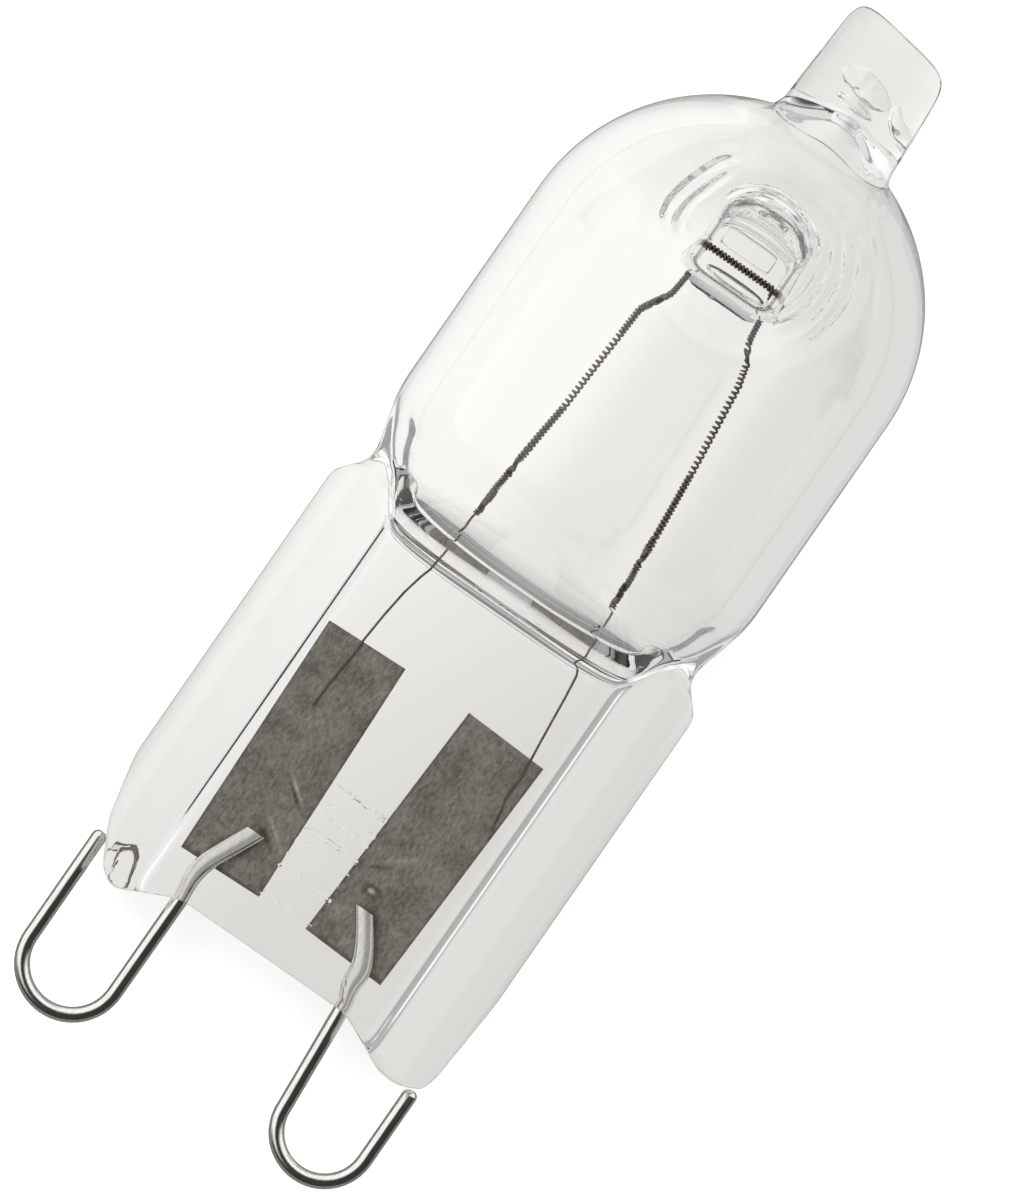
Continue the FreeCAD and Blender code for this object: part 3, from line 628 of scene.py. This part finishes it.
def wind_coil(name, first, second, turns, lean):
    """One stretch of coil: a wire ring screwed up along Y, leant, then turned into its place."""
    span = Vector(second) - Vector(first)
    wire = WIRE_RADIUS if lean else DENSE_WIRE_RADIUS
    nothing_selected()
    bpy.ops.mesh.primitive_circle_add(
        vertices=8, radius=wire, location=(COIL_RADIUS + WIRE_RADIUS - wire, 0, 0))
    piece = fresh(name)
    bpy.ops.object.transform_apply(location=True, rotation=True, scale=True)
    finish_with(piece, "SCREW", axis="Y", angle=2 * math.pi, steps=14, render_steps=14,
                screw_offset=span.length / turns, iterations=turns, use_smooth_shade=True,
                use_merge_vertices=False)
    if lean:
        piece.data.transform(Matrix(((1, 0, 0, 0), (0, 1, lean, 0), (0, 0, 1, 0), (0, 0, 0, 1))))
    turned = Matrix.Rotation(math.atan2(-span.x, span.y), 4, "Z")
    piece.matrix_world = Matrix.Translation((first[0], first[1], 0)) @ turned
    only(piece)
    bpy.ops.object.transform_apply(location=True, rotation=True, scale=True)
    bpy.ops.object.mode_set(mode="EDIT")
    bpy.ops.mesh.select_all(action="DESELECT")
    bpy.ops.mesh.select_non_manifold()
    bpy.ops.mesh.fill_holes(sides=0)
    bpy.ops.object.mode_set(mode="OBJECT")
    return outward(piece)


def draw_lead(name, stops):
    nothing_selected()
    bpy.ops.mesh.primitive_circle_add(
        vertices=10, radius=WIRE_RADIUS, location=(*stops[0], 0),
        rotation=(math.pi / 2, 0, 0), fill_type="NGON")
    piece = fresh(name)
    bpy.ops.object.transform_apply(location=True, rotation=True, scale=True)
    bpy.ops.object.mode_set(mode="EDIT")
    bpy.ops.mesh.select_all(action="SELECT")
    for here, there in zip(stops, stops[1:]):
        bpy.ops.mesh.extrude_region_move(TRANSFORM_OT_translate={
            "value": (there[0] - here[0], there[1] - here[1], 0)})
    bpy.ops.object.mode_set(mode="OBJECT")
    outward(piece)
    bpy.ops.object.shade_smooth_by_angle(angle=math.radians(60))
    return piece


def make_filament():
    parts = [wind_coil(f"{side}_coil", *stretch) for side in COILS for stretch in COILS[side]]
    parts.append(wind_coil("top_run", *TOP_RUN))
    parts += [draw_lead(side + "_lead", LEADS[side]) for side in LEADS]
    return seated(joined(parts, "coiled_filament"))


# Finishes

class Value:
    """A shader socket that can be added to, multiplied and so on."""

    def __init__(self, nodes, socket):
        self.nodes, self.socket = nodes, socket

    def maths(self, operation, *values, clamp=False):
        return self.nodes.node("Math", {"operation": operation, "use_clamp": clamp},
                               dict(enumerate(values)))

    def __add__(self, other):
        return self.maths("ADD", self, other)

    def __radd__(self, other):
        return self.maths("ADD", other, self)

    def __sub__(self, other):
        return self.maths("SUBTRACT", self, other)

    def __rsub__(self, other):
        return self.maths("SUBTRACT", other, self)

    def __mul__(self, other):
        return self.maths("MULTIPLY", self, other)

    def __rmul__(self, other):
        return self.maths("MULTIPLY", other, self)

    def __truediv__(self, other):
        return self.maths("DIVIDE", self, other)

    def __pow__(self, other):
        return self.maths("POWER", self, other)

    def size(self):
        return self.maths("ABSOLUTE", self)

    def bell(self, middle=0.0, width=1.0):
        """1 at the middle, falling away smoothly on both sides of it."""
        away = (self - middle) / width
        return self.maths("POWER", math.e, away * away * -1.0)

    def between(self, low, high, edge):
        return self.ramp(low - edge, low) * self.ramp(high + edge, high)

    def ramp(self, low, high):
        """0 below low, 1 above high, smooth between. A high under low runs the other way."""
        return self.nodes.node(
            "MapRange", {"interpolation_type": "SMOOTHSTEP"},
            {"Value": self, "From Min": low, "From Max": high})


class Nodes:
    """The node tree of a material or of the world."""

    def __init__(self, owner):
        owner.use_nodes = True
        self.tree = owner.node_tree
        self.tree.nodes.clear()

    def node(self, kind, settings=None, sockets=None, output=0):
        made = self.tree.nodes.new("ShaderNode" + kind)
        for setting, given in (settings or {}).items():
            if setting == "stops":
                ramp = made.color_ramp
                while len(ramp.elements) < len(given):
                    ramp.elements.new(1.0)
                for stop, (place, colour) in zip(ramp.elements, given):
                    stop.position, stop.color = place, (*colour, 1.0)
            else:
                setattr(made, setting, given)
        for key, given in (sockets or {}).items():
            if isinstance(given, Value):
                self.tree.links.new(given.socket, made.inputs[key])
            else:
                made.inputs[key].default_value = given
        return Value(self, made.outputs[output]) if made.outputs else None

    def lamp_place(self):
        """Upright lamp coordinates in millimetres, from the piece's own coordinates."""
        place = self.node("TexCoord", output="Object")
        return self.node("Mapping", {"vector_type": "TEXTURE"}, {
            "Vector": place, "Location": PLACE, "Rotation": (TILT, 0, 0),
            "Scale": (MILLIMETRE,) * 3})

    def split(self, vector):
        return [self.node("SeparateXYZ", {}, {0: vector}, axis) for axis in range(3)]

    def noise(self, vector, scale, detail=3.0, rough=0.5):
        return self.node("TexNoise", {}, {
            "Vector": vector, "Scale": scale, "Detail": detail, "Roughness": rough}, "Fac")

    def stretched(self, vector, scale):
        return self.node("Mapping", {}, {"Vector": vector, "Scale": scale})

    def colours(self, mask, stops):
        return self.node("ValToRGB", {"stops": stops}, {"Fac": mask}, "Color")

    def ridges(self, along, end, ridges):
        """Smooth ridges of (place, half width, height) along a value that runs from 0 to end."""
        stops = []
        for place, wide, height in sorted(ridges):
            stops += [(place - wide, 0.0), (place, height), (place + wide, 0.0)]
        stops = [(place / end, (height,) * 3) for place, height in sorted(stops)]
        made = self.colours(along / end, stops)
        made.socket.node.color_ramp.interpolation = "EASE"
        return made

    def bump(self, height, distance, strength=1.0):
        return self.node("Bump", {}, {
            "Height": height, "Distance": distance, "Strength": strength}, "Normal")


# Marks in the glass, in millimetres: slow waves all over it, and the lines that the jaws left
# between the foils, each with its height on the lamp and its depth
WAVE_DEPTH = 0.0075
JAW_LINES = [(5.75, 0.11), (5.1, 0.04), (4.75, 0.05), (4.1, 0.11), (3.6, 0.04), (3.1, 0.03),
             (2.55, 0.1), (1.5, 0.04)]
JAW_LINE_WIDTH = 0.1
# reach from the dimple's middle, half width and depth of the folds that its mouth left in the glass
LEFT_FOLDS = [(3.05, 0.24, 0.3), (2.55, 0.24, 0.14)]
RIGHT_FOLDS = [(2.0, 0.16, 0.06), (2.35, 0.19, 0.07), (2.8, 0.22, 0.08), (3.3, 0.22, 0.06)]
TOP_FOLDS = [(2.0, 0.14, 0.14), (1.68, 0.13, 0.24), (1.38, 0.15, 0.24)]


def jaw_and_fold_marks(nodes, place, waves):
    """Height in millimetres of the marks on the glass."""
    x, y, z = nodes.split(place)
    broken = nodes.noise(nodes.stretched(place, (1.0, 3.0, 1.0)), 3.0, 1.0, 0.7).ramp(0.42, 0.6)
    lines = nodes.ridges(y, 8.0, [(height, JAW_LINE_WIDTH, depth) for height, depth in JAW_LINES])
    marks = lines * x.between(-1.2, 0.75, 0.1) * broken
    aside, above = x - 0.05, y - 28.0
    reach = (aside * aside + above * above) ** 0.5 + waves * 0.3 - 0.15
    front = z.ramp(4.6, 5.0) * y.ramp(30.4, 29.3)
    for folds, where in (
            (LEFT_FOLDS, x.ramp(-1.7, -2.3) * y.ramp(26.9, 27.4) * front),
            (RIGHT_FOLDS, x.ramp(1.7, 2.2) * y.ramp(25.9, 26.9) * front),
            (TOP_FOLDS, y.ramp(28.7, 29.0) * aside.size().ramp(1.9, 1.6) * z.ramp(1.4, 1.7))):
        marks = marks + nodes.ridges(reach, 4.0, folds) * where
    return marks


# after so many turns, or so many mirrorings, light is let straight out of the glass
MOST_TURNS = 7.5
MOST_MIRRORINGS = 2.5


def quartz_glass():
    material = bpy.data.materials.new("quartz_glass")
    nodes = Nodes(material)
    place = nodes.lamp_place()
    waves = nodes.noise(place, 0.4, 0.0)
    relief = waves * WAVE_DEPTH + jaw_and_fold_marks(nodes, place, waves)
    shader = nodes.node("BsdfPrincipled", {}, {
        "Base Color": (0.985, 0.984, 0.98, 1.0),
        "Roughness": 0.0,
        "IOR": 1.46,
        "Transmission Weight": 1.0,
        "Normal": nodes.bump(relief, MILLIMETRE),
    })
    turns = nodes.node("LightPath", {}, {}, "Ray Depth")
    mirrored = nodes.node("LightPath", {}, {}, "Glossy Depth")
    lost = turns.maths("MAXIMUM", turns.maths("GREATER_THAN", turns, MOST_TURNS),
                       turns.maths("GREATER_THAN", mirrored, MOST_MIRRORINGS))
    let_out = nodes.node("BsdfTransparent", {}, {"Color": (0.85, 0.845, 0.83, 1.0)})
    shader = nodes.node("MixShader", {}, {0: lost, 1: shader, 2: let_out})
    nodes.node("OutputMaterial", {}, {"Surface": shader})
    return material


# Painted light and shade on the foils: creases painted with a lit and a shaded side, painted shadow
# along the weld tails, and a painted glint in a shaded spot: place, slope, reach across, width,
# lighter or darker
FOIL_PAINTED_SHADE_LINES = [
    (-2.2, 4.95, -0.75, 0.4, 0.07, 0.2), (-2.1, 4.7, -0.75, 0.35, 0.08, -0.2),
    (-1.9, 3.3, -0.7, 0.45, 0.08, 0.16), (-2.1, 3.0, -0.6, 0.4, 0.12, -0.18),
    (-2.5, 2.3, 1.6, 0.3, 0.6, -0.2), (-3.3, 1.8, 1.4, 0.25, 0.35, -0.16),
    (1.9, 4.9, 0.8, 0.5, 0.1, 0.1), (1.55, 4.4, 0.5, 0.5, 0.1, -0.08),
    (2.3, 2.7, -1.2, 0.35, 0.4, -0.22), (2.9, 1.7, -1.6, 0.3, 0.45, -0.2),
    (1.2, 2.4, -1.0, 0.25, 0.15, 0.1), (1.71, 3.57, 0.0, 0.3, 0.2, -0.3),
    (1.74, 3.58, 0.0, 0.13, 0.09, 0.75),
]


def foil_metal():
    material = bpy.data.materials.new("sealing_foil")
    nodes = Nodes(material)
    place = nodes.lamp_place()
    x, y, z = nodes.split(place)
    grain = nodes.noise(nodes.stretched(place, (4.0, 1.8, 1.0)), 2.2, 8.0, 0.75)
    cloud = nodes.noise(place, 0.9, 4.0, 0.6)
    tone = grain * 0.65 + cloud * 0.35
    # darker along its edges and towards its lower end, with painted shadow round the weld tails and
    # painted light and shade on its creases
    down = 10.17 - y
    right = x.ramp(-0.2, 0.2)
    middle = right * (2.57 - down * 0.0418) + (1.0 - right) * (down * 0.0341 - 3.065)
    edge = ((x - middle).size() / 1.57).ramp(0.9, 1.0)
    edge = edge.maths("MAXIMUM", edge, y.ramp(1.45, 1.3), clamp=True)
    crease_and_weld_shading = 0.0
    for across, height, slope, reach, wide, light in FOIL_PAINTED_SHADE_LINES:
        line = y - height - (x - across) * slope
        crease_and_weld_shading = line.bell(0.0, wide) * x.bell(across, reach) * light + crease_and_weld_shading
    tone = tone + crease_and_weld_shading - edge * 0.12
    colour = nodes.colours(tone, [
        (0.26, (0.115, 0.107, 0.09)), (0.42, (0.26, 0.246, 0.208)), (0.56, (0.48, 0.46, 0.4)),
        (0.74, (0.82, 0.8, 0.72))])
    shader = nodes.node("BsdfPrincipled", {}, {
        "Base Color": colour, "Metallic": 0.35, "Roughness": 0.5,
        "Normal": nodes.bump(tone, 0.00005, 0.8),
    })
    nodes.node("OutputMaterial", {}, {"Surface": shader})
    return material


def drawn_wire(name, dark, light, rough):
    material = bpy.data.materials.new(name)
    nodes = Nodes(material)
    place = nodes.lamp_place()
    streaks = nodes.noise(nodes.stretched(place, (7.0, 0.8, 7.0)), 2.0, 4.0, 0.6)
    shader = nodes.node("BsdfPrincipled", {}, {
        "Base Color": nodes.colours(streaks, [(0.3, dark), (0.7, light)]),
        "Metallic": 1.0,
        "Roughness": rough + streaks * 0.12,
        "Normal": nodes.bump(streaks, 0.000006, 0.4),
    })
    nodes.node("OutputMaterial", {}, {"Surface": shader})
    return material


def dress(piece, material):
    piece.data.materials.clear()
    piece.data.materials.append(material)


# Scene

PHOTO_MIDDLE = (0.18, 14.2, 0.0)
FRAME_HEIGHT = 39.67
ACROSS = Vector((0.8216, 0.5700, 0.0))
UPWARD = Vector((-0.5700, 0.8216, 0.0))


def set_camera():
    data = bpy.data.cameras.new("camera")
    data.lens = 300.0
    data.sensor_width = 36.0
    distance = data.lens / data.sensor_width * FRAME_HEIGHT
    data.clip_start, data.clip_end = 0.01, 10.0
    camera = bpy.data.objects.new("camera", data)
    bpy.context.scene.collection.objects.link(camera)
    towards = Vector((0, 0, 1))
    turned = Matrix((ACROSS, UPWARD, towards)).transposed().to_4x4()
    spot = Vector(PHOTO_MIDDLE) + towards * distance
    camera.matrix_world = (
        Matrix.Translation(PLACE) @ LYING @ Matrix.Translation(spot * MILLIMETRE) @ turned
    )
    bpy.context.scene.camera = camera


PLAIN_LIGHT = 0.75


def set_world():
    """Plain light for the object. Glass and metal see a studio: a large soft box on the left and
    beyond the tip, and a dark room elsewhere."""
    world = bpy.data.worlds.new("studio")
    bpy.context.scene.world = world
    nodes = Nodes(world)
    ray = {kind: nodes.node("LightPath", {}, {}, kind)
           for kind in ("Is Camera Ray", "Is Glossy Ray", "Is Transmission Ray")}
    way = nodes.node("TexCoord", output="Generated")
    turned = nodes.node("Mapping", {"vector_type": "TEXTURE"},
                        {"Vector": way, "Rotation": (TILT, 0, 0)})
    x, y, z = nodes.split(turned)
    round_bulb = x.maths("ARCTAN2", x, z)
    left = round_bulb.ramp(math.radians(-4), math.radians(-26)) * round_bulb.ramp(
        math.radians(-160), math.radians(-135)) * y.ramp(-0.75, -0.35)
    above = y.ramp(0.2, 0.6)
    mirrored = left.maths("MAXIMUM", left, above) * 1.15 + 0.04
    # a refracted ray counts as a glossy one too
    through = ray["Is Transmission Ray"]
    glossy = ray["Is Glossy Ray"] * (1 - through)
    room = 0.4 + x.ramp(0.35, -0.35) * 0.5
    level = glossy * (mirrored - PLAIN_LIGHT) + through * (room - PLAIN_LIGHT) + PLAIN_LIGHT
    level = ray["Is Camera Ray"] * (1.0 - level) + level
    light = nodes.node("Background", {}, {"Color": (1.0, 1.0, 1.0, 1.0), "Strength": level})
    nodes.node("OutputWorld", {}, {"Surface": light})


FLOOR_GAP = 0.00004
FLOOR_GLOW = 0.56
# the floor's painted shade in mirrors, lighter through the glass, and a painted highlight strip
# beside the bulb
MIRRORED_FLOOR_PAINTED_DIM = 0.25
GLASSED_FLOOR = 0.17
PAINTED_HIGHLIGHT_BESIDE_BULB = 0.45
# limits of the painted shade and light that the glass shows of the floor
PALE_LIMITS = (0.74, 1.04)


def set_floor():
    """White where the camera sees it. Through the glass it shows painted shade and light: pale grey,
    lighter to the left and towards the bulb. In mirrors it is dim, a painted shade which is what
    draws the edges of the glass, with a painted highlight strip beside the bulb's sides."""
    nothing_selected()
    bpy.ops.mesh.primitive_circle_add(vertices=128, radius=0.3, fill_type="NGON",
                                      location=(0, 0, -FLOOR_GAP))
    floor = fresh("studio_floor")
    bpy.ops.object.transform_apply(location=True, rotation=True, scale=True)
    material = bpy.data.materials.new("floor")
    nodes = Nodes(material)
    camera = nodes.node("LightPath", {}, {}, "Is Camera Ray")
    glossy = nodes.node("LightPath", {}, {}, "Is Glossy Ray")
    through = nodes.node("LightPath", {}, {}, "Is Transmission Ray")
    x, y, z = nodes.split(nodes.lamp_place())
    # painted shade seen through the glass: a grey that gets lighter up the lamp, darker again
    # towards the tip, darker to the right and far off
    away = y - PHOTO_MIDDLE[1]
    distance = (x * x + away * away) ** 0.5
    along = away * 0.009 + 0.85
    along = along.maths("MINIMUM", along, 0.905) - y.ramp(25.0, 31.0) * 0.07
    # painted light seen through the glass: the bulb stands over a lighter strip on its left and a
    # narrow one on its right
    bulb = y.between(17.0, 27.0, 3.0)
    tone = along - x * 0.019 + bulb * (x.ramp(-0.6, -3.0) * 0.09 + x.bell(3.0, 0.9) * 0.08)
    tone = tone.maths("MINIMUM", tone, PALE_LIMITS[1])
    tone = tone.maths("MAXIMUM", tone, PALE_LIMITS[0])
    tone = tone * (1.0 - distance.ramp(40.0, 150.0) * 0.1)
    painted_shading_through_glass = nodes.node("Emission", {}, {"Color": (1.0, 0.985, 0.955, 1), "Strength": tone})
    glow = nodes.node("Emission", {}, {"Color": (1, 1, 1, 1), "Strength": camera * FLOOR_GLOW})
    matt = nodes.node("BsdfDiffuse", {}, {"Color": (0.8, 0.8, 0.8, 1)})
    both = nodes.node("AddShader", {}, {0: matt, 1: glow})
    glassed = nodes.node("LightPath", {}, {}, "Transmission Depth")
    glassed = glassed.maths("GREATER_THAN", glassed, 0.5)
    # painted highlight: glancing off the bulb's sides the floor is light, which leaves a thin dark
    # line at the very edge
    painted_highlight_strip = y.ramp(8.0, 18.0) * x.size().ramp(9.0, 9.8) * PAINTED_HIGHLIGHT_BESIDE_BULB
    # painted shade in mirrors: the floor reflects dim, with the painted highlight strip beside the
    # bulb
    painted_mirror_light_and_shade = glassed * GLASSED_FLOOR + painted_highlight_strip + MIRRORED_FLOOR_PAINTED_DIM
    painted_mirror_light_and_shade = nodes.node("Emission", {}, {"Color": (1, 1, 1, 1), "Strength": painted_mirror_light_and_shade})
    plain = nodes.node("MixShader", {}, {0: glossy * (1 - through), 1: both, 2: painted_mirror_light_and_shade})
    mixed = nodes.node("MixShader", {}, {0: through, 1: plain, 2: painted_shading_through_glass})
    nodes.node("OutputMaterial", {}, {"Surface": mixed})
    dress(floor, material)


def hang_lamp(name, where, size, power):
    """A soft square light that faces the bulb, placed in upright lamp coordinates."""
    data = bpy.data.lights.new(name, "AREA")
    data.shape, data.size, data.energy = "SQUARE", size, power
    light = bpy.data.objects.new(name, data)
    bpy.context.scene.collection.objects.link(light)
    spot = PLACE + LYING @ (Vector(where) * MILLIMETRE)
    middle = PLACE + LYING @ (Vector(PHOTO_MIDDLE) * MILLIMETRE)
    light.location = spot
    light.rotation_mode = "QUATERNION"
    light.rotation_quaternion = (middle - spot).to_track_quat("-Z", "Y")
    light.visible_glossy = False
    light.visible_transmission = False


glass, foil = quartz_glass(), foil_metal()
pin_wire = drawn_wire("pin_wire", (0.7, 0.69, 0.65), (0.86, 0.85, 0.81), 0.08)
filament_wire = drawn_wire("filament_wire", (0.12, 0.11, 0.1), (0.24, 0.225, 0.2), 0.35)

envelope = make_glass()
dress(envelope, glass)
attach(envelope, "root")
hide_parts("envelope")

for side in PINS:
    pin = bend_pin(side)
    dress(pin, pin_wire)
    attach(pin, "root")
    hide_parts(side + "_pin")
    frame["nodes"][side + "_foil"].material_slots[0].material = foil

filament = make_filament()
dress(filament, filament_wire)
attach(filament, "root")
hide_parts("filament")

set_floor()
set_world()
hang_lamp("key_light", (-160, 120, 260), 0.16, 0.2)
set_camera()
bpy.context.scene.view_settings.view_transform = "Standard"
